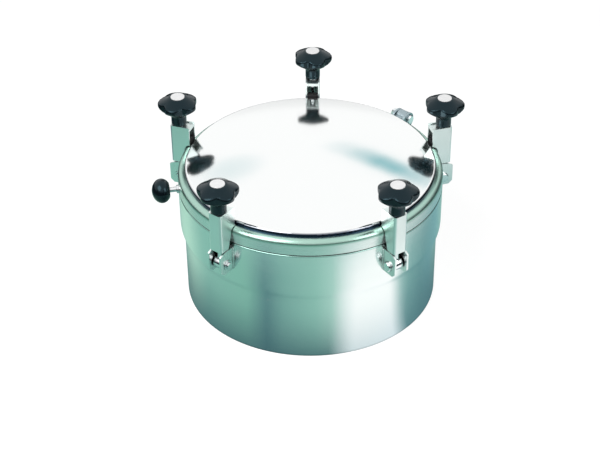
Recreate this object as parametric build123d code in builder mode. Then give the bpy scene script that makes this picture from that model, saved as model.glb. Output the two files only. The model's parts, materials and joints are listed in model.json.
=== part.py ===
from build123d import *
from math import cos, radians, sin, sqrt
import os

# Round tank manway cover: a weld-in neck, a domed lid clamped down by five
# swing bolts with star knobs, a hinge at the rear and a side handle.
# Millimetres, +Z up. The origin is the centre of the neck's lower rim.

# ---- neck and collar ----
neck_radius = 200.0          # outside, at the weld end
neck_wall = 3.0
neck_height = 101.0          # plain cylinder, up to the collar's weld
collar_step = 6.0            # the collar stands out this far from the neck
flare_height = 28.0
rim_top = 192.0              # seat of the gasket
rim_width = 16.0             # collar face to the clear opening
rim_depth = 14.0
rim_chamfer = 0.6
weld_sink = 3.0              # welded pieces are drawn this deep, then cut back to the wall

# ---- gasket ----
gasket_band = 2.0            # squeezed height between rim and lid ring
gasket_recess = 0.5          # band edge behind the collar's face
gasket_tongue_height = 4.0
gasket_tongue_width = 5.0
gasket_tongue_inset = 8.0    # collar face to the middle of the tongue
gasket_lip_width = 2.5
gasket_lip_drop = 4.0

# ---- lid ----
lid_ring_height = 24.3
lid_knuckle = 9.0            # outer top edge of the ring
dome_step = 10.7             # ring's ledge outside the dished plate
dome_seat = 5.3              # ring's width under the dished plate
dome_wall = 3.0
dome_edge = 6.0              # upright edge under the crown
dome_rise = 28.0             # crown above that edge
dome_knuckle = 5.5

# ---- clamps ----
clamp_angles = [16.2, 88.2, 160.2, 232.2, 304.2]
bolt_offset = 13.0           # collar face to pivot pins and bolt axes
pivot_drop = 32.0            # rim top to pivot
bolt_diameter = 10.0
fit_clearance = 0.05         # radial, between turning and fixed rounds
eye_diameter = 19.0
eye_width = 16.0
bolt_length = 128.0          # pivot to tip
bolt_tip_chamfer = 0.9
eye_chamfer = 1.2

lug_gap = 19.0               # between the lug's cheeks
lug_plate = 3.0
lug_reach = 15.0             # past the pivot
lug_top_gap = 7.0            # lug top below the rim top
lug_below = 14.0
lug_corner = 6.0
lug_base = 3.0               # plate between the cheeks, on the collar

channel_width = 23.0         # outside, across the cheeks
channel_sheet = 2.5
channel_web_offset = 11.5    # bolt axis to outer face of the web
channel_reach = 21.0         # bolt axis to inner end of the cheeks
channel_gap = 0.8            # lug top to channel bottom
channel_height = 65.2
channel_bend = 4.0
channel_foot = 5.0           # bolt axis to inner edge at the bottom
channel_rim_gap = 1.6        # cheek edge off the lid ring
bridge_drop = 2.0            # plate below the cheeks' top edge
bridge_thickness = 5.0

pad_gap = 0.3                # pad off the lid ring
pad_height = 8.0
pad_span = 70.0              # degrees of the lid knuckle that it covers
pad_side_gap = 0.1
washer_diameter = 17.0
washer_lift = 0.3            # washer stands proud of the cheeks

# ---- pivot pins ----
pin_diameter = 10.0
pin_head_diameter = 15.0
pin_head_height = 4.0
pin_tail = 5.0
pin_head_chamfer = 1.0
clip_diameter = 16.0
clip_thickness = 1.4

# ---- star knob ----
knob_radius = 31.5
knob_lobes = 5
lobe_rounding = 6.0
valley_radius = 12.0         # hollow between two lobes
valley_depth = 6.5
knob_hub_diameter = 24.0
knob_height = 47.5
knob_top_radius = 13.5
knob_crown = 10.5            # depth of the sloping top
knob_rim = 8.0               # height of the upright lobes
knob_under = 13.0            # depth of the sloping underside
knob_rounding = 3.0
knob_bore_depth = 39.0
knob_bore_clearance = 0.5
insert_diameter = 15.0
insert_length = 24.0
cap_diameter = 22.0
cap_thickness = 3.0
cap_proud = 1.2
cap_rounding = 0.9
knob_angles = [0, 0, 36, 18, 0]  # where the screwed-down knobs' lobes stand

# ---- handle ----
handle_angle = 191.0
handle_rise = 10.0           # above the gasket's seat
handle_boss_diameter = 13.0
handle_boss_length = 4.0
handle_rod_diameter = 8.0
handle_rod_length = 15.0     # lid ring to the knob
handle_knob_radius = 19.0
handle_knob_depth = 30.0
handle_knob_flat = 12.0      # knob centre to the flat that meets the rod
handle_stud_diameter = 6.0
handle_stud = 8.0            # stud's reach into the knob

# ---- hinge ----
hinge_angle = 48.0
hinge_offset = 27.0          # collar face to the hinge pin
hinge_rise = 7.0             # pin above the rim top
hinge_pin_diameter = 10.0
hinge_arm_width = 16.0
hinge_arm_thickness = 8.0
hinge_arm_rise = 2.0         # arm's middle above the pin
hinge_eye_diameter = 21.0
hinge_side_gap = 0.6
hinge_plate = 4.0
hinge_plate_drop = 42.0      # pin to the plates' foot
hinge_plate_margin = 10.5    # plate round the pin
hinge_plate_base = 4.0       # back plate between the two side plates
hinge_foot = 6.0             # plates' lower edge
hinge_shoulder = 8.0
hinge_bush_wall = 1.5
hinge_head_diameter = 15.0
hinge_head_height = 4.0
hinge_head_chamfer = 1.2
hinge_nut_height = 6.0
hinge_pin_tail = 2.0
hinge_washer_diameter = 18.0
hinge_washer_thickness = 1.6

# ---- derived places ----
collar_radius = neck_radius + collar_step
rim_inner_radius = collar_radius - rim_width
dome_radius = collar_radius - dome_step
ring_inner_radius = dome_radius - dome_seat
bolt_circle = collar_radius + bolt_offset
pivot_height = rim_top - pivot_drop
lug_above = pivot_drop - lug_top_gap
hinge_radius = collar_radius + hinge_offset
hinge_height = rim_top + hinge_rise
lid_bottom = rim_top + gasket_band
lid_ring_top = lid_bottom + lid_ring_height
knuckle_centre = (collar_radius - lid_knuckle, lid_ring_top - lid_knuckle)
dome_shoulder = lid_ring_top + dome_edge
channel_bottom = pivot_height + lug_above + channel_gap
channel_top = channel_bottom + channel_height
bridge_top = channel_top - bridge_drop
washer_top = channel_top + washer_lift
knob_bottom = washer_top
knob_top = knob_bottom + knob_height

os.makedirs("parts", exist_ok=True)


def save(piece, name):
    """Label a finished piece and write its STEP file."""
    piece.label = name
    export_step(piece, f"parts/{name}.step")


def at_angle(piece, angle):
    """A copy of a piece built at the +X side, turned round the tank's axis."""
    return piece.rotate(Axis.Z, angle)


# ================= neck =================
with BuildPart() as neck_tube:
    with BuildSketch():
        Circle(neck_radius)
        Circle(neck_radius - neck_wall, mode=Mode.SUBTRACT)
    extrude(amount=neck_height)
save(neck_tube.part, "neck_tube")

# Flared collar with an inward rim that carries the gasket.
flare_top = neck_height + flare_height
rim_bottom = rim_top - rim_depth
with BuildPart() as neck_collar:
    with BuildSketch(Plane.XZ):
        with BuildLine():
            Spline(
                (neck_radius, neck_height),
                (collar_radius, flare_top),
                tangents=((0, 1), (0, 1)),
            )
            Line((collar_radius, flare_top), (collar_radius, rim_top))
            Line((collar_radius, rim_top), (rim_inner_radius, rim_top))
            Line((rim_inner_radius, rim_top), (rim_inner_radius, rim_bottom))
            Line(
                (rim_inner_radius, rim_bottom),
                (collar_radius - neck_wall, rim_bottom),
            )
            Line(
                (collar_radius - neck_wall, rim_bottom),
                (collar_radius - neck_wall, flare_top),
            )
            Spline(
                (collar_radius - neck_wall, flare_top),
                (neck_radius - neck_wall, neck_height),
                tangents=((0, -1), (0, -1)),
            )
            Line((neck_radius - neck_wall, neck_height), (neck_radius, neck_height))
        make_face()
    revolve(axis=Axis.Z)
    rim_edges = neck_collar.edges().filter_by(GeomType.CIRCLE).group_by(Axis.Z)[-1]
    chamfer(rim_edges, rim_chamfer)
save(neck_collar.part, "neck_collar")

# ================= gasket =================
gasket_tongue_radius = collar_radius - gasket_tongue_inset
tongue_in = gasket_tongue_radius - gasket_tongue_width / 2
tongue_out = gasket_tongue_radius + gasket_tongue_width / 2
lip_out = rim_inner_radius
with BuildPart() as rim_gasket:
    with BuildSketch(Plane.XZ):
        with BuildLine():
            Polyline(
                (lip_out - gasket_lip_width, rim_top - gasket_lip_drop),
                (lip_out, rim_top - gasket_lip_drop),
                (lip_out, rim_top),
                (collar_radius - gasket_recess, rim_top),
                (collar_radius - gasket_recess, lid_bottom),
                (tongue_out, lid_bottom),
                (tongue_out, lid_bottom + gasket_tongue_height),
                (tongue_in, lid_bottom + gasket_tongue_height),
                (tongue_in, lid_bottom),
                (lip_out - gasket_lip_width, lid_bottom),
                close=True,
            )
        make_face()
    revolve(axis=Axis.Z)
save(rim_gasket.part, "rim_gasket")

# ================= lid =================
with BuildPart() as lid_ring:
    with BuildSketch(Plane.XZ) as ring_profile:
        with BuildLine():
            Polyline(
                (ring_inner_radius, lid_bottom),
                (tongue_in, lid_bottom),
                (tongue_in, lid_bottom + gasket_tongue_height),
                (tongue_out, lid_bottom + gasket_tongue_height),
                (tongue_out, lid_bottom),
                (collar_radius, lid_bottom),
                (collar_radius, lid_ring_top),
                (ring_inner_radius, lid_ring_top),
                close=True,
            )
        make_face()
        crest = ring_profile.vertices().sort_by(Axis.X)[-2:].sort_by(Axis.Y)[-1]
        fillet(crest, lid_knuckle)
    revolve(axis=Axis.Z)
save(lid_ring.part, "lid_ring")

# Dished plate: an upright edge, a small knuckle and a shallow crown.
with BuildPart() as lid_dome:
    with BuildSketch(Plane.XZ) as dome_profile:
        with BuildLine():
            Line((0, dome_shoulder + dome_rise - dome_wall), (0, dome_shoulder + dome_rise))
            crown_radius = (dome_radius**2 + dome_rise**2) / (2 * dome_rise)
            RadiusArc(
                (0, dome_shoulder + dome_rise), (dome_radius, dome_shoulder), crown_radius
            )
            Line((dome_radius, dome_shoulder), (dome_radius, lid_ring_top))
            Line((dome_radius, lid_ring_top), (dome_radius - dome_wall, lid_ring_top))
            inner_radius = crown_radius - dome_wall
            inner_drop = inner_radius - sqrt(inner_radius**2 - (dome_radius - dome_wall) ** 2)
            inner_edge = dome_shoulder + dome_rise - dome_wall - inner_drop
            Line((dome_radius - dome_wall, lid_ring_top), (dome_radius - dome_wall, inner_edge))
            RadiusArc(
                (dome_radius - dome_wall, inner_edge),
                (0, dome_shoulder + dome_rise - dome_wall),
                -inner_radius,
            )
        make_face()
        rim_corners = dome_profile.vertices().filter_by_position(
            Axis.X, dome_radius - dome_wall - 0.01, dome_radius + 0.01
        )
        outer_corner = rim_corners.sort_by(Axis.X)[-2:].sort_by(Axis.Y)[-1]
        fillet(outer_corner, dome_knuckle)
    revolve(axis=Axis.Z)
save(lid_dome.part, "lid_dome")

# ================= handle =================
# Built along +X and turned to its place at the end.
knob_flat_at = collar_radius + handle_rod_length
knob_centre = knob_flat_at + handle_knob_flat
handle_height = rim_top + handle_rise
with BuildPart() as handle_rod:
    with BuildSketch(Plane.YZ.offset(collar_radius - weld_sink)):
        Circle(handle_boss_diameter / 2)
    extrude(amount=weld_sink + handle_boss_length)
    with BuildSketch(Plane.YZ.offset(collar_radius)):
        Circle(handle_rod_diameter / 2)
    extrude(amount=handle_rod_length)
    with BuildSketch(Plane.YZ.offset(knob_flat_at)):
        Circle(handle_stud_diameter / 2)
    extrude(amount=handle_stud)
    with BuildSketch(Plane.XY.offset(-handle_boss_diameter)):
        Circle(collar_radius)
    extrude(amount=2 * handle_boss_diameter, mode=Mode.SUBTRACT)
handle_rod_placed = at_angle(handle_rod.part, handle_angle).translate((0, 0, handle_height))
save(handle_rod_placed, "handle_rod")

with BuildPart() as handle_knob:
    with BuildSketch(Plane.XY):
        with Locations((knob_centre, 0)):
            Ellipse(handle_knob_depth / 2, handle_knob_radius)
            Rectangle(
                handle_knob_depth,
                handle_knob_radius,
                align=(Align.CENTER, Align.MAX),
                mode=Mode.SUBTRACT,
            )
        with Locations((knob_flat_at, 0)):
            Rectangle(
                handle_knob_depth,
                2 * handle_knob_radius,
                align=(Align.MAX, Align.CENTER),
                mode=Mode.SUBTRACT,
            )
    revolve(axis=Axis.X)
    with BuildSketch(Plane.YZ.offset(knob_flat_at)):
        Circle(handle_stud_diameter / 2)
    extrude(amount=handle_stud, mode=Mode.SUBTRACT)
handle_knob_placed = at_angle(handle_knob.part, handle_angle).translate((0, 0, handle_height))
save(handle_knob_placed, "handle_knob")

# ================= hinge =================
# Built at the +X side and turned to its place at the end.
hinge_axis_point = (hinge_radius, hinge_height)
hinge_bore = hinge_pin_diameter / 2 + fit_clearance
bush_outer = hinge_bore + hinge_bush_wall
plate_inner = hinge_arm_width / 2 + hinge_side_gap
plate_outer = plate_inner + hinge_plate

plate_reach = hinge_radius + hinge_plate_margin
plate_top = hinge_height + hinge_plate_margin
plate_foot = hinge_height - hinge_plate_drop
with BuildPart() as hinge_lug:
    with BuildSketch(Plane.XZ) as plate_outline:
        with BuildLine():
            Polyline(
                (collar_radius - weld_sink, plate_foot),
                (collar_radius + hinge_foot, plate_foot),
                (plate_reach, hinge_height - hinge_shoulder),
                (plate_reach, plate_top),
                (hinge_radius - hinge_plate_margin, plate_top),
                (collar_radius - weld_sink, rim_top - hinge_shoulder),
                close=True,
            )
        make_face()
        top_corners = plate_outline.vertices().sort_by(Axis.Y)[-2:]
        fillet(top_corners, hinge_plate_margin - 1)
    extrude(amount=plate_outer, both=True)
    with BuildSketch(Plane.XZ):
        with Locations((collar_radius + hinge_plate_base, plate_foot)):
            Rectangle(hinge_radius, hinge_radius, align=(Align.MIN, Align.MIN))
        with Locations((collar_radius - weld_sink, rim_top - hinge_shoulder)):
            Rectangle(hinge_radius, hinge_radius, align=(Align.MIN, Align.MIN))
    extrude(amount=plate_inner, both=True, mode=Mode.SUBTRACT)
    with BuildSketch(Plane.XZ):
        with Locations(hinge_axis_point):
            Circle(hinge_pin_diameter / 2)
    extrude(amount=plate_outer, both=True, mode=Mode.SUBTRACT)
    with BuildSketch(Plane.XY):
        Circle(collar_radius)
    extrude(amount=lid_ring_top, mode=Mode.SUBTRACT)
save(at_angle(hinge_lug.part, hinge_angle), "hinge_lug")

with BuildPart() as hinge_arm:
    with BuildSketch(Plane.XZ):
        with Locations(hinge_axis_point):
            Circle(hinge_eye_diameter / 2)
        with Locations((hinge_radius, hinge_height + hinge_arm_rise)):
            Rectangle(
                hinge_offset + weld_sink,
                hinge_arm_thickness,
                align=(Align.MAX, Align.CENTER),
            )
        with Locations(hinge_axis_point):
            Circle(bush_outer, mode=Mode.SUBTRACT)
    extrude(amount=hinge_arm_width / 2, both=True)
    with BuildSketch(Plane.XY.offset(rim_top)):
        Circle(collar_radius)
    extrude(amount=lid_ring_height, mode=Mode.SUBTRACT)
save(at_angle(hinge_arm.part, hinge_angle), "hinge_arm")

with BuildPart() as hinge_bush:
    with BuildSketch(Plane.XZ):
        with Locations(hinge_axis_point):
            Circle(bush_outer)
            Circle(hinge_bore, mode=Mode.SUBTRACT)
    extrude(amount=hinge_arm_width / 2, both=True)
save(at_angle(hinge_bush.part, hinge_angle), "hinge_bush")

washer_face = plate_outer + hinge_washer_thickness
with BuildPart() as hinge_pin:
    with BuildSketch(Plane.XZ.offset(plate_outer)):
        with Locations(hinge_axis_point):
            Circle(hinge_head_diameter / 2)
    extrude(amount=hinge_head_height)
    chamfer(hinge_pin.edges().group_by(Axis.Y)[0], hinge_head_chamfer)
    with BuildSketch(Plane.XZ.offset(plate_outer)):
        with Locations(hinge_axis_point):
            Circle(hinge_pin_diameter / 2)
    extrude(amount=-(plate_outer + washer_face + hinge_nut_height + hinge_pin_tail))
save(at_angle(hinge_pin.part, hinge_angle), "hinge_pin")

with BuildPart() as hinge_washer:
    with BuildSketch(Plane.XZ.offset(-plate_outer)):
        with Locations(hinge_axis_point):
            Circle(hinge_washer_diameter / 2)
            Circle(hinge_pin_diameter / 2, mode=Mode.SUBTRACT)
    extrude(amount=-hinge_washer_thickness)
save(at_angle(hinge_washer.part, hinge_angle), "hinge_washer")

with BuildPart() as hinge_nut:
    with BuildSketch(Plane.XZ.offset(-washer_face)):
        with Locations(hinge_axis_point):
            RegularPolygon(hinge_head_diameter / 2, 6, major_radius=False)
            Circle(hinge_pin_diameter / 2, mode=Mode.SUBTRACT)
    extrude(amount=-hinge_nut_height)
save(at_angle(hinge_nut.part, hinge_angle), "hinge_nut")

# ================= clamp lug =================
# The clamp's pieces are built at the +X side and copied round the rim.
# Every part of the lug stays within lug_above of the pivot on the outer side,
# so that the channel swings past it.
lug_outer = lug_gap / 2 + lug_plate
lug_low = pivot_height - lug_below
lug_high = pivot_height + lug_above
lug_end = bolt_circle + lug_reach
lug_shoulder = pivot_height + sqrt(lug_above**2 - lug_reach**2)
arc_angle = radians(75)
with BuildPart() as clamp_lug:
    with BuildSketch(Plane.XZ):
        with BuildLine():
            Polyline(
                (bolt_circle, lug_high),
                (collar_radius - weld_sink, lug_high),
                (collar_radius - weld_sink, lug_low),
                (lug_end - lug_corner, lug_low),
                (lug_end, lug_low + lug_corner),
                (lug_end, lug_shoulder),
            )
            ThreePointArc(
                (lug_end, lug_shoulder),
                (
                    bolt_circle + lug_above * cos(arc_angle),
                    pivot_height + lug_above * sin(arc_angle),
                ),
                (bolt_circle, lug_high),
            )
        make_face()
    extrude(amount=lug_outer, both=True)
    with BuildSketch(Plane.XY.offset(lug_low)):
        with Locations((collar_radius + lug_base, 0)):
            Rectangle(lug_reach * 3, lug_gap, align=(Align.MIN, Align.CENTER))
    extrude(amount=lug_below + lug_above, mode=Mode.SUBTRACT)
    with BuildSketch(Plane.XZ):
        with Locations((bolt_circle, pivot_height)):
            Circle(pin_diameter / 2)
    extrude(amount=lug_outer, both=True, mode=Mode.SUBTRACT)
    with BuildSketch(Plane.XY):
        Circle(collar_radius)
    extrude(amount=lid_bottom, mode=Mode.SUBTRACT)

# ================= pivot pin and clip =================
with BuildPart() as pivot_pin:
    with BuildSketch(Plane.XZ.offset(lug_outer)):
        with Locations((bolt_circle, pivot_height)):
            Circle(pin_head_diameter / 2)
    extrude(amount=pin_head_height)
    chamfer(pivot_pin.edges().group_by(Axis.Y)[0], pin_head_chamfer)
    with BuildSketch(Plane.XZ.offset(lug_outer)):
        with Locations((bolt_circle, pivot_height)):
            Circle(pin_diameter / 2)
    extrude(amount=-(2 * lug_outer + pin_tail))

with BuildPart() as pin_clip:
    with BuildSketch(Plane.XZ.offset(-lug_outer)):
        with Locations((bolt_circle, pivot_height)):
            Circle(clip_diameter / 2)
            Circle(pin_diameter / 2, mode=Mode.SUBTRACT)
    extrude(amount=-clip_thickness)

# ================= swing bolt =================
eye_bore = pin_diameter / 2 + fit_clearance
with BuildPart() as swing_bolt:
    with BuildSketch(Plane.XZ):
        with Locations((bolt_circle, pivot_height)):
            Circle(eye_diameter / 2)
    extrude(amount=eye_width / 2, both=True)
    eye_rims = swing_bolt.edges().filter_by(GeomType.CIRCLE)
    chamfer(eye_rims, eye_chamfer)
    with BuildSketch(Plane.XY.offset(pivot_height)):
        with Locations((bolt_circle, 0)):
            Circle(bolt_diameter / 2)
    extrude(amount=bolt_length)
    tip = swing_bolt.faces().sort_by(Axis.Z)[-1]
    chamfer(tip.edges(), bolt_tip_chamfer)
    with BuildSketch(Plane.XZ):
        with Locations((bolt_circle, pivot_height)):
            Circle(eye_bore)
    extrude(amount=eye_width, both=True, mode=Mode.SUBTRACT)

# ================= clamp channel =================
web_face = bolt_circle + channel_web_offset
hook_end = bolt_circle - channel_reach
cheek = channel_width / 2
hook_clear = lid_knuckle + channel_rim_gap
hook_bottom = knuckle_centre[1] + hook_clear
shank_top = knuckle_centre[1]
with BuildPart() as clamp_channel:
    with BuildSketch(Plane.XZ):
        with BuildLine():
            Polyline(
                (knuckle_centre[0], hook_bottom),
                (hook_end, hook_bottom),
                (hook_end, channel_top),
                (web_face, channel_top),
                (web_face, channel_bottom),
                (bolt_circle - channel_foot, channel_bottom),
                (knuckle_centre[0] + hook_clear, shank_top),
            )
            RadiusArc(
                (knuckle_centre[0] + hook_clear, shank_top),
                (knuckle_centre[0], hook_bottom),
                -hook_clear,
            )
        make_face()
    extrude(amount=cheek, both=True)
    bends = clamp_channel.edges().filter_by(Axis.Z).sort_by(Axis.X)[-2:]
    fillet(bends, channel_bend)
    with BuildSketch(Plane.XY.offset(channel_bottom)):
        with Locations((web_face - channel_sheet, 0)):
            inside = Rectangle(
                channel_reach * 3,
                channel_width - 2 * channel_sheet,
                align=(Align.MAX, Align.CENTER),
            )
        fillet(inside.vertices().sort_by(Axis.X)[-2:], channel_bend - channel_sheet)
    extrude(amount=channel_height, mode=Mode.SUBTRACT)
    with BuildSketch(Plane.XY.offset(bridge_top)):
        with Locations((hook_end, 0)):
            Rectangle(
                channel_reach + channel_web_offset - channel_sheet,
                channel_width - 2 * channel_sheet,
                align=(Align.MIN, Align.CENTER),
            )
    extrude(amount=-bridge_thickness)
    with BuildSketch(Plane.XY.offset(bridge_top)):
        with Locations((bolt_circle, 0)):
            Circle(bolt_diameter / 2 + fit_clearance)
    extrude(amount=-bridge_thickness, mode=Mode.SUBTRACT)

# ================= rim pad =================
pad_radius = lid_knuckle + pad_gap
pad_low = radians(90 - pad_span)
pad_mid = radians(90 - pad_span / 2)
pad_top_z = hook_bottom + pad_height
pad_width = channel_width - 2 * channel_sheet - 2 * pad_side_gap
with BuildPart() as rim_pad:
    with BuildSketch(Plane.XZ):
        with BuildLine():
            pad_turn = (knuckle_centre[0], knuckle_centre[1] + pad_radius)
            pad_foot = (
                knuckle_centre[0] + pad_radius * cos(pad_low),
                knuckle_centre[1] + pad_radius * sin(pad_low),
            )
            Line((hook_end, pad_top_z), pad_turn)
            ThreePointArc(
                pad_turn,
                (
                    knuckle_centre[0] + pad_radius * cos(pad_mid),
                    knuckle_centre[1] + pad_radius * sin(pad_mid),
                ),
                pad_foot,
            )
            Polyline(
                pad_foot,
                (pad_foot[0], pad_top_z),
                (hook_end, pad_top_z),
            )
        make_face()
    extrude(amount=pad_width / 2, both=True)

# ================= washer =================
with BuildPart() as knob_washer:
    with BuildSketch(Plane.XY.offset(bridge_top)):
        with Locations((bolt_circle, 0)):
            Circle(washer_diameter / 2)
            Circle(bolt_diameter / 2 + fit_clearance, mode=Mode.SUBTRACT)
    extrude(amount=washer_top - bridge_top)

# ================= star knob =================
hub_radius = knob_hub_diameter / 2
valley_circle = knob_radius - valley_depth + valley_radius
rim_high = knob_top - knob_crown
rim_low = rim_high - knob_rim
under_low = rim_low - knob_under
with BuildPart() as star_knob:
    with BuildSketch(Plane.XZ) as knob_profile:
        with BuildLine():
            Polyline(
                (0, knob_bottom),
                (hub_radius, knob_bottom),
                (hub_radius, under_low),
                (knob_radius, rim_low),
                (knob_radius, rim_high),
                (knob_top_radius, knob_top),
                (0, knob_top),
                close=True,
            )
        make_face()
        rim_corners = knob_profile.vertices().sort_by(Axis.X)[-2:]
        fillet(rim_corners, knob_rounding)
    revolve(axis=Axis.Z)
    with BuildSketch(Plane.XY.offset(knob_bottom)) as star:
        Circle(knob_radius)
        with PolarLocations(valley_circle, knob_lobes, start_angle=180 / knob_lobes):
            Circle(valley_radius, mode=Mode.SUBTRACT)
        lobe_corners = star.vertices().group_by(lambda corner: corner.center().length)[-1]
        fillet(lobe_corners, lobe_rounding)
    extrude(amount=knob_height, mode=Mode.INTERSECT)
    with BuildSketch(Plane.XY.offset(knob_bottom)):
        Circle(insert_diameter / 2)
    extrude(amount=insert_length, mode=Mode.SUBTRACT)
    with BuildSketch(Plane.XY.offset(knob_bottom)):
        Circle(bolt_diameter / 2 + knob_bore_clearance)
    extrude(amount=knob_bore_depth, mode=Mode.SUBTRACT)
    with BuildSketch(Plane.XY.offset(knob_top)):
        Circle(cap_diameter / 2)
    extrude(amount=-(cap_thickness - cap_proud), mode=Mode.SUBTRACT)

with BuildPart() as knob_insert:
    with BuildSketch(Plane.XY.offset(knob_bottom)):
        Circle(insert_diameter / 2)
        Circle(bolt_diameter / 2 + fit_clearance, mode=Mode.SUBTRACT)
    extrude(amount=insert_length)

with BuildPart() as knob_cap:
    with BuildSketch(Plane.XY.offset(knob_top + cap_proud)):
        Circle(cap_diameter / 2)
    extrude(amount=-cap_thickness)
    fillet(knob_cap.edges().group_by(Axis.Z)[-1], cap_rounding)

# ================= the five clamps =================
for number, (angle, turn) in enumerate(zip(clamp_angles, knob_angles), start=1):
    save(at_angle(clamp_lug.part, angle), f"clamp_lug_{number}")
    save(at_angle(swing_bolt.part, angle), f"swing_bolt_{number}")
    save(at_angle(clamp_channel.part, angle), f"clamp_channel_{number}")
    save(at_angle(rim_pad.part, angle), f"rim_pad_{number}")
    save(at_angle(knob_washer.part, angle), f"knob_washer_{number}")
    for piece, name in (
        (star_knob, "star_knob"),
        (knob_insert, "knob_insert"),
        (knob_cap, "knob_cap"),
    ):
        on_bolt = piece.part.rotate(Axis.Z, turn - angle).translate((bolt_circle, 0, 0))
        save(at_angle(on_bolt, angle), f"{name}_{number}")

for piece, name in ((pivot_pin, "pivot_pins"), (pin_clip, "pin_clips")):
    around = Compound(children=[at_angle(piece.part, angle) for angle in clamp_angles])
    save(around, name)
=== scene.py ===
import bpy
import bmesh
import json
import math
from mathutils import Matrix, Vector


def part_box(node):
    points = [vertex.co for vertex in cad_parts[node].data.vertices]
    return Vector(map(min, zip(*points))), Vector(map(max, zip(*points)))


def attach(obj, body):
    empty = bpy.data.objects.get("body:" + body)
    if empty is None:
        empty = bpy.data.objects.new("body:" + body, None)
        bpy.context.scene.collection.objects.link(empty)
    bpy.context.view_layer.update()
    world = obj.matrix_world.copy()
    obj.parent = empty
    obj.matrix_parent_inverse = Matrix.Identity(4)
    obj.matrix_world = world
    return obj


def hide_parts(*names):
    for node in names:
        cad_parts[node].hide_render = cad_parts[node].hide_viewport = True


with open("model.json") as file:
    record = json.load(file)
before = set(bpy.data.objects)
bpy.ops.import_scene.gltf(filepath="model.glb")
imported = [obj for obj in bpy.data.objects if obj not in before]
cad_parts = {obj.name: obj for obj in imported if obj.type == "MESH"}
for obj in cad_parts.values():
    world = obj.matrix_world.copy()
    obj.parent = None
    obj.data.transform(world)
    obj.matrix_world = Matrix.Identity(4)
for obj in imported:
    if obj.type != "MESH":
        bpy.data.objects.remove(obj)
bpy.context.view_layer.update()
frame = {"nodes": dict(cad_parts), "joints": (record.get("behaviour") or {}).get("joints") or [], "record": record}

MM = 0.001
CLAMPS = range(1, 6)


# ---------------------------------------------------------------- camera
CAMERA_AIM = Vector((-0.0169, 0.0, 0.1037))
CAMERA_DISTANCE = 2.395
CAMERA_ELEVATION = math.radians(35.16)
CAMERA_ROLL = math.radians(-0.62)


def make_camera():
    """A long lens that looks down on the cover from the front, with a slight roll."""
    back = Vector((0.0, -math.cos(CAMERA_ELEVATION), math.sin(CAMERA_ELEVATION)))
    right = Vector((1.0, 0.0, 0.0))
    up = back.cross(right)
    x_axis = math.cos(CAMERA_ROLL) * right + math.sin(CAMERA_ROLL) * up
    y_axis = -math.sin(CAMERA_ROLL) * right + math.cos(CAMERA_ROLL) * up
    data = bpy.data.cameras.new("camera")
    data.lens = 90.0
    data.sensor_width = 36.0
    data.clip_end = 50.0
    camera = bpy.data.objects.new("camera", data)
    bpy.context.scene.collection.objects.link(camera)
    turn = Matrix((x_axis, y_axis, back)).transposed().to_4x4()
    camera.matrix_world = Matrix.Translation(CAMERA_AIM + back * CAMERA_DISTANCE) @ turn
    bpy.context.scene.camera = camera


make_camera()


# ---------------------------------------------------------------- node helpers
# the middle range of a noise, which is spread over a finish's whole range
NOISE_RANGE = (0.3, 0.7)

# The tone of the painted shade in recesses and where pieces meet, and the share of open sky at which it starts and
# ends.
PAINTED_SHADE_TONE = (0.012, 0.014, 0.022)
PAINTED_SHADE_RANGE = (0.18, 0.72)

# Walls that lean less than the first share are taken as upright, above the second not.
LEAN_RANGE = (0.25, 0.45)
LEAN_KEPT = 0.15


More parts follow.
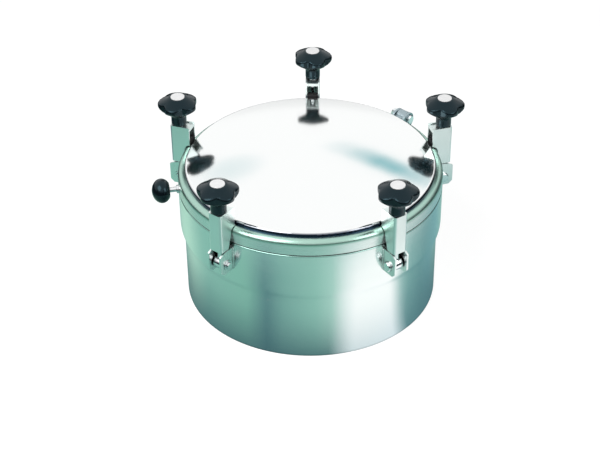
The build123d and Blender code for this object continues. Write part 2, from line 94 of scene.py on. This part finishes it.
class Graph:
    """The node tree of a material or a world, with short calls for what they need."""

    def __init__(self, owner):
        owner.use_nodes = True
        self.owner = owner
        self.tree = owner.node_tree
        self.shader = self.tree.nodes.get("Principled BSDF")

    def node(self, kind, **settings):
        made = self.tree.nodes.new(kind)
        for key, value in settings.items():
            setattr(made, key, value)
        return made

    def link(self, source, target):
        self.tree.links.new(source, target)

    def feed(self, socket, value):
        """Link a node's output to the socket, or set the socket to a plain value."""
        if hasattr(value, "is_linked"):
            self.link(value, socket)
        else:
            socket.default_value = value

    def math(self, operation, first, second=None):
        made = self.node("ShaderNodeMath", operation=operation)
        for socket, value in zip(made.inputs, (first, second)):
            if value is not None:
                self.feed(socket, value)
        return made.outputs[0]

    def vector(self, *parts):
        made = self.node("ShaderNodeCombineXYZ")
        for socket, value in zip(made.inputs, parts):
            self.feed(socket, value)
        return made.outputs[0]

    def split(self, vector):
        made = self.node("ShaderNodeSeparateXYZ")
        self.link(vector, made.inputs[0])
        return tuple(made.outputs)

    def polar(self, x, y):
        """The angle from -Y towards +X, and the distance from the Z axis."""
        angle = self.math("ARCTAN2", x, self.math("MULTIPLY", y, -1.0))
        squares = self.math("ADD", self.math("MULTIPLY", x, x), self.math("MULTIPLY", y, y))
        return angle, self.math("SQRT", squares)

    def place(self):
        """The piece's own coordinates, in metres."""
        return self.node("ShaderNodeTexCoord").outputs["Object"]

    def noise(self, vector, scale, detail=2.0, roughness=0.5):
        made = self.node("ShaderNodeTexNoise")
        made.inputs["Scale"].default_value = scale
        made.inputs["Detail"].default_value = detail
        made.inputs["Roughness"].default_value = roughness
        self.link(vector, made.inputs["Vector"])
        return made.outputs["Fac"]

    def spread(self, value, low, high, start=0.0, end=1.0):
        """value from start..end mapped to low..high."""
        made = self.node("ShaderNodeMapRange")
        made.inputs["From Min"].default_value = start
        made.inputs["From Max"].default_value = end
        made.inputs["To Min"].default_value = low
        made.inputs["To Max"].default_value = high
        self.link(value, made.inputs["Value"])
        return made.outputs["Result"]

    def ramp(self, value, stops):
        made = self.node("ShaderNodeValToRGB")
        elements = made.color_ramp.elements
        while len(elements) < len(stops):
            elements.new(0.5)
        for element, (position, colour) in zip(elements, stops):
            element.position = position
            element.color = (*colour, 1.0)
        self.link(value, made.inputs[0])
        return made.outputs[0]

    def mix(self, factor, first, second):
        made = self.node("ShaderNodeMix", data_type="RGBA")
        self.link(factor, made.inputs["Factor"])
        for socket, value in ((made.inputs[6], first), (made.inputs[7], second)):
            self.feed(socket, value if hasattr(value, "is_linked") else (*value, 1.0))
        return made.outputs[2]

    def painted_shade(self, colour, reach):
        """colour with painted shade in recesses and where pieces meet."""
        made = self.node("ShaderNodeAmbientOcclusion", samples=8)
        made.inputs["Distance"].default_value = reach
        return self.mix(self.spread(made.outputs["AO"], 0.0, 1.0, *PAINTED_SHADE_RANGE), PAINTED_SHADE_TONE, colour)

    def upright(self):
        """The surface's normal, with a slight slope of a wall taken out of it."""
        x, y, z = self.split(self.node("ShaderNodeNewGeometry").outputs["Normal"])
        lean = self.math("ABSOLUTE", z)
        kept = self.math("MULTIPLY", z, self.spread(lean, LEAN_KEPT, 1.0, *LEAN_RANGE))
        made = self.node("ShaderNodeVectorMath", operation="NORMALIZE")
        self.link(self.vector(x, y, kept), made.inputs[0])
        return made.outputs[0]

    def bump(self, height, depth, strength, normal=None):
        made = self.node("ShaderNodeBump")
        if normal is not None:
            self.link(normal, made.inputs["Normal"])
        made.inputs["Distance"].default_value = depth
        made.inputs["Strength"].default_value = strength
        self.link(height, made.inputs["Height"])
        self.link(made.outputs[0], self.shader.inputs["Normal"])

    def set(self, **values):
        for key, value in values.items():
            self.feed(self.shader.inputs[key.replace("_", " ")], value)

    def light_path(self, kind):
        return self.node("ShaderNodeLightPath").outputs[kind]


# ---------------------------------------------------------------- materials
# noise cells per metre along each axis; "round" has cells per radian, then outward and up
GRAINS = {
    "round": (3.0, 1600.0, 1900.0),
    "up": (1900.0, 1900.0, 30.0),
    "even": (900.0, 900.0, 900.0),
}
SMUDGE_CELLS = 14.0
# fade of the painted shade band on a top
TOP_SHADE_FADE = 3.0 * MM
# fade of the painted dark reflection on an outer edge
EDGE_SHADE_FADE = 2.0 * MM
SCRATCH_DEPTH = 0.04 * MM
RUBBER_DEPTH = 0.05 * MM
PEEL_DEPTH = 0.08 * MM
PLASTIC_DEPTH = 0.03 * MM


def steel(name, light, dark, rough, grain, anisotropy=0.0, shade_reach=0.0, crown=None, edge=None):
    """Stainless steel. grain is round (lines run round the tank), up (lines run up) or even.
    shade_reach is how far painted shade reaches into its corners, crown a height and the tone
    of a painted shade band on its top, and edge a radius and the tone of a painted dark
    reflection on its outer edge."""
    graph = Graph(bpy.data.materials.new(name))
    whole = graph.place()
    x, y, z = graph.split(whole)
    if grain == "round":
        angle, radius = graph.polar(x, y)
        axes = (angle, radius, z)
    else:
        axes = (x, y, z)
    lines = graph.vector(*(
        graph.math("MULTIPLY", axis, cells) for axis, cells in zip(axes, GRAINS[grain])))
    fine = graph.noise(lines, 1.0, 3.0, 0.6)
    smudge = graph.noise(whole, SMUDGE_CELLS, 4.0, 0.55)
    mottle = graph.math("MULTIPLY", graph.math("ADD", fine, smudge), 0.5)
    colour = graph.mix(mottle, dark, light)
    # painted shade: the top band above the given height goes to a darker tone
    if crown:
        height, tone = crown
        colour = graph.mix(
            graph.spread(z, 0.0, 1.0, height, height + TOP_SHADE_FADE), colour, tone)
    # painted dark reflection: beyond the given radius the outer edge goes near black
    if edge:
        start, tone = edge
        colour = graph.mix(
            graph.spread(radius, 0.0, 1.0, start, start + EDGE_SHADE_FADE), colour, tone)
    # painted shade: corners and places where pieces meet go dark by ambient occlusion
    if shade_reach:
        colour = graph.painted_shade(colour, shade_reach)
    wear = graph.math("ADD", graph.math("MULTIPLY", fine, 0.6), graph.math("MULTIPLY", smudge, 0.4))
    graph.set(
        Base_Color=colour,
        Metallic=1.0,
        Roughness=graph.spread(wear, rough * 0.75, rough * 1.3, *NOISE_RANGE),
    )
    if anisotropy:
        tangent = graph.node("ShaderNodeTangent", direction_type="RADIAL", axis="Z")
        graph.link(tangent.outputs[0], graph.shader.inputs["Tangent"])
        graph.set(Anisotropic=anisotropy, Anisotropic_Rotation=0.25)
    graph.bump(fine, SCRATCH_DEPTH, 0.5, graph.upright() if grain == "round" else None)
    return graph.owner


def rubber(name, colour, worn):
    """Matt black elastomer with a fine grain and a little dust."""
    graph = Graph(bpy.data.materials.new(name))
    whole = graph.place()
    grain = graph.noise(whole, 1400.0, 3.0)
    dust = graph.noise(whole, 60.0, 4.0, 0.6)
    graph.set(
        Base_Color=graph.mix(graph.spread(dust, 0.0, 1.0, 0.45, 0.8), colour, worn),
        Roughness=graph.spread(grain, 0.5, 0.75),
    )
    graph.bump(grain, RUBBER_DEPTH, 0.6)
    return graph.owner


def bakelite(name, colour, worn, rough):
    """Glossy moulded phenolic with a slight orange peel, rubbed lighter along its edges."""
    graph = Graph(bpy.data.materials.new(name))
    whole = graph.place()
    peel = graph.noise(whole, 260.0, 2.0)
    haze = graph.noise(whole, 70.0, 5.0, 0.65)
    edge = graph.node("ShaderNodeNewGeometry").outputs["Pointiness"]
    rubbed = graph.math("MULTIPLY", graph.spread(edge, 0.0, 1.0, 0.52, 0.6), haze)
    graph.set(
        Base_Color=graph.mix(rubbed, colour, worn),
        Roughness=graph.spread(haze, rough * 0.7, rough * 1.7, *NOISE_RANGE),
        Specular_IOR_Level=0.42,
        Specular_Tint=(0.48, 0.85, 1.0, 1.0),
    )
    graph.bump(peel, PEEL_DEPTH, 0.35)
    return graph.owner


def plastic(name, colour, shade, rough):
    """Smooth plain plastic with a faint cloudiness."""
    graph = Graph(bpy.data.materials.new(name))
    whole = graph.place()
    cloud = graph.noise(whole, 120.0, 4.0, 0.6)
    grain = graph.noise(whole, 900.0, 2.0)
    graph.set(
        Base_Color=graph.mix(graph.spread(cloud, 0.0, 1.0, 0.4, 0.75), colour, shade),
        Roughness=graph.spread(grain, rough * 0.8, rough * 1.25),
    )
    graph.bump(grain, PLASTIC_DEPTH, 0.4)
    return graph.owner


# heights from which painted shade bands cover the collar's top and the ring's top
NECK_TOP_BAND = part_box("neck_collar")[1].z - 3.0 * MM
RING_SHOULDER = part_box("lid_ring")[1].z - 9.8 * MM
# radius from which a painted dark reflection covers the dome's outer edge
DOME_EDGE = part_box("lid_dome")[1].x - 2.8 * MM

looks = {
    # the neck gets painted shade in its corners and a painted shade band on the collar's top
    "neck_steel": steel(
        "neck_steel", (0.93, 0.97, 0.96), (0.85, 0.91, 0.89), 0.2, "round", 0.8, shade_reach=9.0 * MM,
        crown=(NECK_TOP_BAND, (0.26, 0.46, 0.41))),
    # the lid's dome gets a painted dark reflection along its outer edge
    "lid_steel": steel(
        "lid_steel", (0.99, 1.0, 0.995), (0.95, 0.97, 0.965), 0.11, "round", 0.2,
        edge=(DOME_EDGE, (0.03, 0.045, 0.08))),
    # the clamps get painted shade in their corners
    "clamp_steel": steel(
        "clamp_steel", (0.88, 0.95, 0.93), (0.76, 0.86, 0.84), 0.3, "up", shade_reach=14.0 * MM),
    # the polished parts get painted shade in their corners
    "polished_steel": steel(
        "polished_steel", (0.93, 0.95, 0.96), (0.82, 0.85, 0.86), 0.14, "even", shade_reach=6.0 * MM),
    "gasket_rubber": rubber("gasket_rubber", (0.012, 0.012, 0.014), (0.04, 0.04, 0.04)),
    "pad_rubber": rubber("pad_rubber", (0.008, 0.008, 0.01), (0.03, 0.03, 0.03)),
    "black_bakelite": bakelite("black_bakelite", (0.003, 0.005, 0.007), (0.02, 0.03, 0.035), 0.16),
    "cap_white": plastic("cap_white", (0.93, 0.93, 0.93), (0.84, 0.85, 0.86), 0.3),
    "insert_brass": steel("insert_brass", (0.86, 0.66, 0.33), (0.7, 0.5, 0.22), 0.25, "even"),
    "bush_plastic": plastic("bush_plastic", (0.85, 0.85, 0.82), (0.75, 0.75, 0.7), 0.45),
}

# the lid's ring is brushed where its dome is polished; the hinge gets a darker copy of the
# clamps' steel as painted shade, and the clamps' channels a brighter copy than their lugs as painted light
brushed_ring = steel(
    "brushed_ring", (0.93, 0.98, 0.96), (0.86, 0.93, 0.9), 0.3, "round", 0.6,
    # painted shade band on the ring's top
    crown=(RING_SHOULDER, (0.44, 0.66, 0.57)))
shaded_hinge_steel = steel(
    "shaded_hinge_steel", (0.46, 0.55, 0.58), (0.30, 0.38, 0.42), 0.3, "up", shade_reach=12.0 * MM)
lit_channel_steel = steel("lit_channel_steel", (0.90, 0.97, 0.95), (0.80, 0.90, 0.88), 0.34, "up")
looks_of_nodes = {"lid_ring": brushed_ring, "hinge_arm": shaded_hinge_steel, "hinge_lug": shaded_hinge_steel}
for k in CLAMPS:
    looks_of_nodes[f"clamp_channel_{k}"] = lit_channel_steel

slot_of = {part["node"]: part["material_slot"] for part in frame["record"]["subparts"]}
for name, piece in frame["nodes"].items():
    piece.data.materials.clear()
    piece.data.materials.append(looks_of_nodes.get(name, looks[slot_of[name]]))


# ---------------------------------------------------------------- mesh helpers
MERGE_DISTANCE = 1e-7


def add_piece(name, verts, faces, look, body, sharp):
    """A smooth-shaded mesh piece that rides on a body. Edges over sharp degrees stay hard."""
    mesh = bpy.data.meshes.new(name)
    mesh.from_pydata([tuple(v) for v in verts], [], faces)
    build = bmesh.new()
    build.from_mesh(mesh)
    bmesh.ops.remove_doubles(build, verts=build.verts, dist=MERGE_DISTANCE)
    bmesh.ops.recalc_face_normals(build, faces=build.faces)
    build.to_mesh(mesh)
    build.free()
    mesh.polygons.foreach_set("use_smooth", [True] * len(mesh.polygons))
    mesh.set_sharp_from_angle(angle=math.radians(sharp))
    mesh.materials.append(looks[look])
    piece = bpy.data.objects.new(name, mesh)
    bpy.context.scene.collection.objects.link(piece)
    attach(piece, body)
    return piece


def loft(rings, closed_ends=True):
    """Faces between rings of equal length, with a fan over each end if they are closed."""
    count = len(rings[0])
    verts = [v for ring in rings for v in ring]
    faces = []
    for level in range(len(rings) - 1):
        base, over = level * count, (level + 1) * count
        for i in range(count):
            j = (i + 1) % count
            faces.append((base + i, base + j, over + j, over + i))
    if closed_ends:
        for level in (0, len(rings) - 1):
            verts.append(sum((Vector(v) for v in rings[level]), Vector()) / count)
            base, hub = level * count, len(verts) - 1
            faces += [(base + i, base + (i + 1) % count, hub) for i in range(count)]
    return verts, faces


def round_angles(count):
    return [2.0 * math.pi * i / count for i in range(count)]


def clamp_place(k):
    """Where clamp k's bolt has its pivot, and the direction that the clamp faces."""
    joint = next(j for j in frame["joints"] if j["name"] == f"clamp_swing_{k}")
    x, y, z = joint["pos_m"]
    return x, y, z, math.atan2(y, x)


# ---------------------------------------------------------------- star knobs
LOBES = 5
KNOB_RADIUS = 31.9 * MM
VALLEY_DEPTH = 6.3 * MM
LOBE_FULLNESS = 0.62            # under 1, the lobes are broader than the valleys
LOBE_BLEND = 0.9 * MM
LOBED_FROM = 14.0 * MM          # the hub and the crown inside this radius stay round
KNOB_SEGMENTS = 150
KNOB_TURNS = (0, 0, 36, 18, 0)  # degrees by which each knob's first lobe stands round

# Radius and height in mm: the bore from its blind end down to the insert's room, then the
# foot, the hub, the underside, the rim, the crown and the seat of the cap.
KNOB_BORE = ((5.5, 39.0), (5.5, 24.0), (7.5, 24.0), (7.5, 0.0))
KNOB_TOP = 47.5
KNOB_OUTLINE = (
    (11.3, 0.0), (11.8, 0.4), (12.0, 1.2), (12.0, 5.0), (12.0, 9.0), (12.0, 13.0),
    (12.2, 15.5), (13.2, 17.4), (15.5, 19.2), (19.0, 21.6), (23.0, 24.4),
    (27.5, 27.6), (30.4, 29.9), (32.2, 31.6), (33.4, 33.2), (33.8, 34.6),
    (33.4, 35.9), (32.2, 37.2), (30.2, 38.5), (27.0, 40.1), (23.5, 41.9),
    (20.0, 43.7), (17.2, 45.2), (15.0, 46.5), (13.8, 47.15), (12.9, 47.42),
    (12.0, KNOB_TOP), (11.35, 47.45), (11.1, 47.1), (11.1, 45.7),
)


def soft_min(first, second, blend):
    return -blend * math.log(math.exp(-first / blend) + math.exp(-second / blend))


def star_radius(angle):
    """Outline of the star: round lobes with a hollow between each two."""
    wave = 0.5 + 0.5 * math.cos(LOBES * angle)
    return KNOB_RADIUS - VALLEY_DEPTH * (1.0 - wave ** LOBE_FULLNESS)


def make_knob(k, turn):
    """A moulded star knob: sloping top, rounded lobes, tapering underside and hub."""
    low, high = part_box(f"star_knob_{k}")
    x, y = clamp_place(k)[:2]
    scale = (high.z - low.z) / KNOB_TOP
    rings = []
    for radius, rise in KNOB_BORE:
        rings.append([
            (x + radius * MM * math.cos(angle + turn), y + radius * MM * math.sin(angle + turn),
             low.z + rise * MM)
            for angle in round_angles(KNOB_SEGMENTS)])
    for radius, rise in KNOB_OUTLINE:
        ring = []
        for angle in round_angles(KNOB_SEGMENTS):
            reach = radius * MM
            if reach > LOBED_FROM:
                reach = soft_min(reach, star_radius(angle), LOBE_BLEND)
            ring.append((x + reach * math.cos(angle + turn), y + reach * math.sin(angle + turn),
                         low.z + rise * scale))
        rings.append(ring)
    piece = add_piece(
        f"knob_moulding_{k}", *loft(rings), "black_bakelite", f"knob_{k}", sharp=40.0)
    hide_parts(f"star_knob_{k}")


for k, degrees in zip(CLAMPS, KNOB_TURNS):
    make_knob(k, math.radians(degrees))


# ---------------------------------------------------------------- swing bolts
BOLT_RADIUS = 5.0 * MM
BOLT_SEGMENTS = 24
EYE_SEGMENTS = 64
THREAD_PITCH = 1.5 * MM
THREAD_LENGTH = 54.0 * MM
THREAD_DEPTH = 0.85 * MM
ROWS_PER_PITCH = 6
RUN_IN_ROWS = 9.0               # over which the thread reaches its full depth
TIP_LENGTH = 1.6 * MM
TIP_CUT = 1.1 * MM

# Radius and sideways place in mm of the eye's section, from the bore round to the bore.
EYE_SECTION = (
    (5.05, -8.0), (8.1, -8.0), (8.9, -7.6), (9.4, -6.9), (9.5, -6.0),
    (9.5, 6.0), (9.4, 6.9), (8.9, 7.6), (8.1, 8.0), (5.05, 8.0),
)
# Radius in mm and height above the pivot in mm of the neck that runs from the eye.
BOLT_NECK = ((6.6, 8.6), (5.9, 9.6), (5.4, 10.8), (5.1, 12.4), (5.0, 14.5))
THREAD_GAP = 1.2 * MM           # between the last plain row and the thread's first


def make_bolt(k):
    """A forged eye bolt: rounded eye, plain shank and a grooved thread up to the tip."""
    x, y, z, facing = clamp_place(k)
    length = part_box(f"swing_bolt_{k}")[1].z - z
    turn = Matrix.Translation((x, y, z)) @ Matrix.Rotation(facing, 4, "Z")
    eye = [
        [turn @ Vector((radius * MM * math.cos(angle), side * MM, radius * MM * math.sin(angle)))
         for angle in round_angles(EYE_SEGMENTS)]
        for radius, side in EYE_SECTION]
    verts, faces = loft(eye + [eye[0]], closed_ends=False)

    start = length - THREAD_LENGTH
    rows = [(radius * MM, rise * MM) for radius, rise in BOLT_NECK]
    rows.append((BOLT_RADIUS, start - THREAD_GAP))
    steps = int(THREAD_LENGTH / THREAD_PITCH * ROWS_PER_PITCH)
    for step in range(steps + 1):
        rise = start + THREAD_LENGTH * step / steps
        tip = min(1.0, max(0.0, (length - rise) / TIP_LENGTH))
        run_in = min(1.0, step / RUN_IN_ROWS)
        groove = abs(2.0 * ((rise - start) / THREAD_PITCH % 1.0) - 1.0)
        radius = min(BOLT_RADIUS - THREAD_DEPTH * groove * run_in,
                     BOLT_RADIUS - TIP_CUT * (1.0 - tip))
        rows.append((radius, rise))
    shank_verts, shank_faces = loft([
        [turn @ Vector((radius * math.cos(angle), radius * math.sin(angle), rise))
         for angle in round_angles(BOLT_SEGMENTS)]
        for radius, rise in rows])
    shift = len(verts)
    verts += shank_verts
    faces += [tuple(i + shift for i in face) for face in shank_faces]
    piece = add_piece(f"eye_bolt_{k}", verts, faces, "polished_steel", f"bolt_{k}", sharp=50.0)
    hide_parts(f"swing_bolt_{k}")


for k in CLAMPS:
    make_bolt(k)


# ---------------------------------------------------------------- weld beads
BEAD_RADIUS = 1.15 * MM
BEAD_STEP = 0.9 * MM
BEAD_SIDES = 8
RIPPLE = 0.13                   # share by which the bead swells and thins
RIPPLE_TURN = 2.1               # radians of that wave from one section to the next
BEAD_END = 0.55                 # share of its radius that the bead has at its ends
LUG_EDGE = 12.6 * MM            # from the lug's middle to the beads beside it
COLLAR_RADIUS = (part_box("neck_collar")[1].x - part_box("neck_collar")[0].x) / 2.0


def wall_point(facing, side, z):
    """A point on the collar's face beside the direction facing."""
    reach = math.sqrt(COLLAR_RADIUS ** 2 - side ** 2)
    return Vector((reach * math.cos(facing) - side * math.sin(facing),
                   reach * math.sin(facing) + side * math.cos(facing), z))


def make_bead(name, start, end, out):
    """A rippled weld bead from start to end, half sunk in the wall that faces out."""
    count = max(2, int((end - start).length / BEAD_STEP))
    along = (end - start).normalized()
    side = along.cross(out)
    rings = []
    for index in range(count + 1):
        swell = BEAD_RADIUS * (1.0 + RIPPLE * math.cos(index * RIPPLE_TURN))
        if index in (0, count):
            swell *= BEAD_END
        rings.append([
            start.lerp(end, index / count) + swell * (math.cos(a) * out + math.sin(a) * side)
            for a in round_angles(BEAD_SIDES)])
    add_piece(name, *loft(rings), "neck_steel", "neck", sharp=80.0)


for k in CLAMPS:
    facing = clamp_place(k)[3]
    low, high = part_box(f"clamp_lug_{k}")
    out = Vector((math.cos(facing), math.sin(facing), 0.0))
    for label, side in (("a", -LUG_EDGE), ("b", LUG_EDGE)):
        make_bead(f"lug_weld_{k}{label}", wall_point(facing, side, low.z + MM),
                  wall_point(facing, side, high.z - MM), out)


# ---------------------------------------------------------------- stage
# The floor and the room are white to the camera. Polished metal sees cards on them, whose
# tones go round the object: those nearest the neck by the direction of the wall that
# mirrors them (0 is -X, 0.5 the front and 1 is +X), those further out by their own
# direction (0 and 1 are the back and 0.5 is the front).
WALL_RADIUS = 0.2
BAND_WHITE = (1.12, 1.12, 1.12)
NEAR_CARDS = (
    (0.00, (0.34, 0.58, 0.52)),
    (0.04, (0.48, 0.76, 0.63)),
    (0.10, (0.50, 0.80, 0.66)),
    (0.19, (0.26, 0.53, 0.45)),
    (0.33, (0.22, 0.49, 0.40)),
    (0.385, (0.095, 0.23, 0.24)),
    (0.43, (0.19, 0.40, 0.36)),
    (0.51, (0.29, 0.56, 0.48)),
    (0.55, (0.42, 0.68, 0.60)),
    (0.585, (0.90, 0.98, 0.97)),
    (0.61, BAND_WHITE),
    (0.715, BAND_WHITE),
    (0.75, (0.36, 0.58, 0.56)),
    (0.78, (0.20, 0.41, 0.40)),
    (0.84, (0.15, 0.33, 0.34)),
    (0.91, (0.19, 0.40, 0.43)),
    (1.00, (0.34, 0.58, 0.52)),
)
FOOT_DARK = (0.05, 0.13, 0.15)
FOOT_CARDS = (
    (0.0, FOOT_DARK),
    (0.54, FOOT_DARK),
    (0.60, (0.60, 0.70, 0.74)),
    (0.72, (0.68, 0.78, 0.84)),
    (0.77, (0.10, 0.22, 0.25)),
    (1.0, FOOT_DARK),
)
MIDDLE_CARDS = (
    (0.00, (0.30, 0.50, 0.46)),
    (0.16, (0.06, 0.15, 0.18)),
    (0.23, (0.06, 0.15, 0.18)),
    (0.28, (0.30, 0.60, 0.52)),
    (0.40, (0.38, 0.68, 0.60)),
    (0.50, (0.35, 0.62, 0.55)),
    (0.58, (0.45, 0.72, 0.68)),
    (0.66, BAND_WHITE),
    (0.73, BAND_WHITE),
    (0.79, (0.55, 0.80, 0.76)),
    (0.90, (0.25, 0.45, 0.44)),
    (1.00, (0.30, 0.50, 0.46)),
)
FAR_FLOOR = (0.012, 0.03, 0.035)

# how far from the axis each kind of card fades into the next, in metres
FOOT_FADE = (0.20, 0.31)
MIDDLE_FADE = (0.44, 0.52)
FAR_FADE = (0.66, 0.80)
FOOT_SHARE = 0.85

FLOOR_TONE = (0.42, 0.42, 0.42, 1.0)
FLOOR_GLOW = 0.72
UNSEEN_FLOOR_TONE = (0.8, 0.8, 0.8, 1.0)
FLOOR_SIZE = 6.0
FLOOR_HEIGHT = -0.5 * MM


def floor_material():
    """White to the camera with the object's shadow, and a floor with cards to metal."""
    graph = Graph(bpy.data.materials.new("floor"))
    graph.tree.nodes.remove(graph.shader)
    x, y, _ = graph.split(graph.node("ShaderNodeNewGeometry").outputs["Position"])
    angle, reach = graph.polar(x, y)
    share = graph.spread(angle, 0.0, 1.0, -math.pi, math.pi)
    # the wall mirrors twice its own direction, from a start at its own radius
    bend = graph.math("SUBTRACT", 2.0, graph.math("DIVIDE", WALL_RADIUS, reach))
    wall_facing = graph.math("DIVIDE", angle, bend)
    wall_share = graph.spread(wall_facing, 0.0, 1.0, -math.pi / 2.0, math.pi / 2.0)
    foot = graph.mix(graph.spread(reach, FOOT_SHARE, 0.0, *FOOT_FADE),
                     graph.ramp(wall_share, NEAR_CARDS), graph.ramp(wall_share, FOOT_CARDS))
    inner = graph.mix(graph.spread(reach, 0.0, 1.0, *MIDDLE_FADE),
                      foot, graph.ramp(share, MIDDLE_CARDS))
    tones = graph.mix(graph.spread(reach, 0.0, 1.0, *FAR_FADE), inner, FAR_FLOOR)

    diffuse = graph.node("ShaderNodeBsdfDiffuse")
    diffuse.inputs["Color"].default_value = FLOOR_TONE
    glow = graph.node("ShaderNodeEmission")
    glow.inputs["Strength"].default_value = FLOOR_GLOW
    seen = graph.node("ShaderNodeAddShader")
    graph.link(diffuse.outputs[0], seen.inputs[0])
    graph.link(glow.outputs[0], seen.inputs[1])
    mirrored = graph.node("ShaderNodeEmission")
    graph.link(tones, mirrored.inputs["Color"])
    plain = graph.node("ShaderNodeBsdfDiffuse")
    plain.inputs["Color"].default_value = UNSEEN_FLOOR_TONE
    last = plain
    for ray, shader in (("Is Camera Ray", seen), ("Is Glossy Ray", mirrored)):
        choice = graph.node("ShaderNodeMixShader")
        graph.link(graph.light_path(ray), choice.inputs[0])
        graph.link(last.outputs[0], choice.inputs[1])
        graph.link(shader.outputs[0], choice.inputs[2])
        last = choice
    graph.link(last.outputs[0], graph.tree.nodes["Material Output"].inputs["Surface"])
    return graph.owner


def make_floor():
    mesh = bpy.data.meshes.new("floor")
    build = bmesh.new()
    bmesh.ops.create_grid(build, x_segments=1, y_segments=1, size=FLOOR_SIZE)
    build.to_mesh(mesh)
    build.free()
    mesh.materials.append(floor_material())
    floor = bpy.data.objects.new("floor", mesh)
    floor.matrix_world = Matrix.Translation((0.0, 0.0, FLOOR_HEIGHT))
    bpy.context.scene.collection.objects.link(floor)


make_floor()

ROOM_WHITE = (1.0, 1.0, 1.0)
ROOM_DARK = (0.012, 0.022, 0.035)
ROOM_CARD = (0.22, 0.50, 0.54)
ROOM_LIGHT = 0.55               # strength for all that isn't seen or mirrored

# Heights, as shares of straight up, over which the dark of the walls fades into white.
SKIRTING_FADE = (0.06, 0.16)
FRONT_WALL_FADE = (0.22, 0.45)
CORNER_FADE = (0.3, 0.5)
FRONT_SIDE = (-0.4, 0.0)        # how far towards -Y the front wall starts and ends
REAR_SKIRTING = 0.12            # share of the skirting that is left at the rear

# Azimuth and elevation in degrees, radius of the core and of the fading rim, and strength.
LEFT_PATCH = (-18.0, 36.5, 0.5, 7.0, 0.28)
STREAK = (
    (8.0, 32.2, 0.6, 4.5, 0.25),
    (12.0, 33.8, 0.6, 4.5, 0.6),
    (16.0, 35.0, 0.6, 4.5, 1.0),
    (20.0, 35.6, 0.6, 4.5, 1.0),
    (24.5, 35.8, 0.6, 4.5, 0.7),
)


def make_world():
    """A white room: white to the camera, and to metal white with dark walls low down, a
    dark corner at the rear right, and a soft teal streak and patch in the ceiling."""
    world = bpy.data.worlds.new("studio")
    bpy.context.scene.world = world
    graph = Graph(world)
    background = graph.tree.nodes["Background"]
    toward = graph.node("ShaderNodeTexCoord").outputs["Generated"]
    _, away, height = graph.split(toward)

    def spot(azimuth, elevation, core, rim):
        """1 inside a soft round spot of the sky. Azimuth 0 is +Y and 90 is +X."""
        a, e = math.radians(azimuth), math.radians(elevation)
        product = graph.node("ShaderNodeVectorMath", operation="DOT_PRODUCT")
        graph.link(toward, product.inputs[0])
        product.inputs[1].default_value = (
            math.sin(a) * math.cos(e), math.cos(a) * math.cos(e), math.sin(e))
        return graph.spread(product.outputs["Value"], 0.0, 1.0,
                            math.cos(math.radians(rim)), math.cos(math.radians(core)))

    skirting = graph.math("MULTIPLY", graph.spread(height, 1.0, 0.0, *SKIRTING_FADE),
                          graph.spread(spot(0, 0, 30, 60), 1.0, REAR_SKIRTING))
    front_wall = graph.math("MULTIPLY", graph.spread(height, 1.0, 0.0, *FRONT_WALL_FADE),
                            graph.spread(away, 1.0, 0.0, *FRONT_SIDE))
    corner = graph.math("MULTIPLY", spot(75, 8, 25, 45),
                        graph.spread(height, 1.0, 0.0, *CORNER_FADE))
    dark = graph.math("MAXIMUM", graph.math("MAXIMUM", skirting, front_wall), corner)
    cards = None
    for *place, strength in (LEFT_PATCH, *STREAK):
        card = graph.math("MULTIPLY", spot(*place), strength)
        cards = card if cards is None else graph.math("MAXIMUM", cards, card)

    mirrored = graph.mix(dark, graph.mix(cards, ROOM_WHITE, ROOM_CARD), ROOM_DARK)
    glossy = graph.light_path("Is Glossy Ray")
    graph.link(graph.mix(glossy, ROOM_WHITE, mirrored), background.inputs["Color"])
    seen = graph.math("MAXIMUM", graph.light_path("Is Camera Ray"), glossy)
    graph.link(graph.spread(seen, ROOM_LIGHT, 1.0), background.inputs["Strength"])


make_world()

# name, place, width and power in watts of the round lamps, which point at the neck's middle
LAMPS = (
    ("key", (-1.3, -1.1, 1.9), 1.8, 26.0),
    ("fill", (1.4, -1.0, 1.2), 1.2, 8.0),
)
LAMP_AIM = Vector((0.0, 0.0, 0.1))

for name, place, width, power in LAMPS:
    data = bpy.data.lights.new(name, "AREA")
    data.shape = "DISK"
    data.size = width
    data.energy = power
    lamp = bpy.data.objects.new(name, data)
    lamp.location = place
    lamp.rotation_mode = "QUATERNION"
    lamp.rotation_quaternion = (LAMP_AIM - Vector(place)).to_track_quat("-Z", "Y")
    bpy.context.scene.collection.objects.link(lamp)

bpy.context.scene.view_settings.view_transform = "Standard"
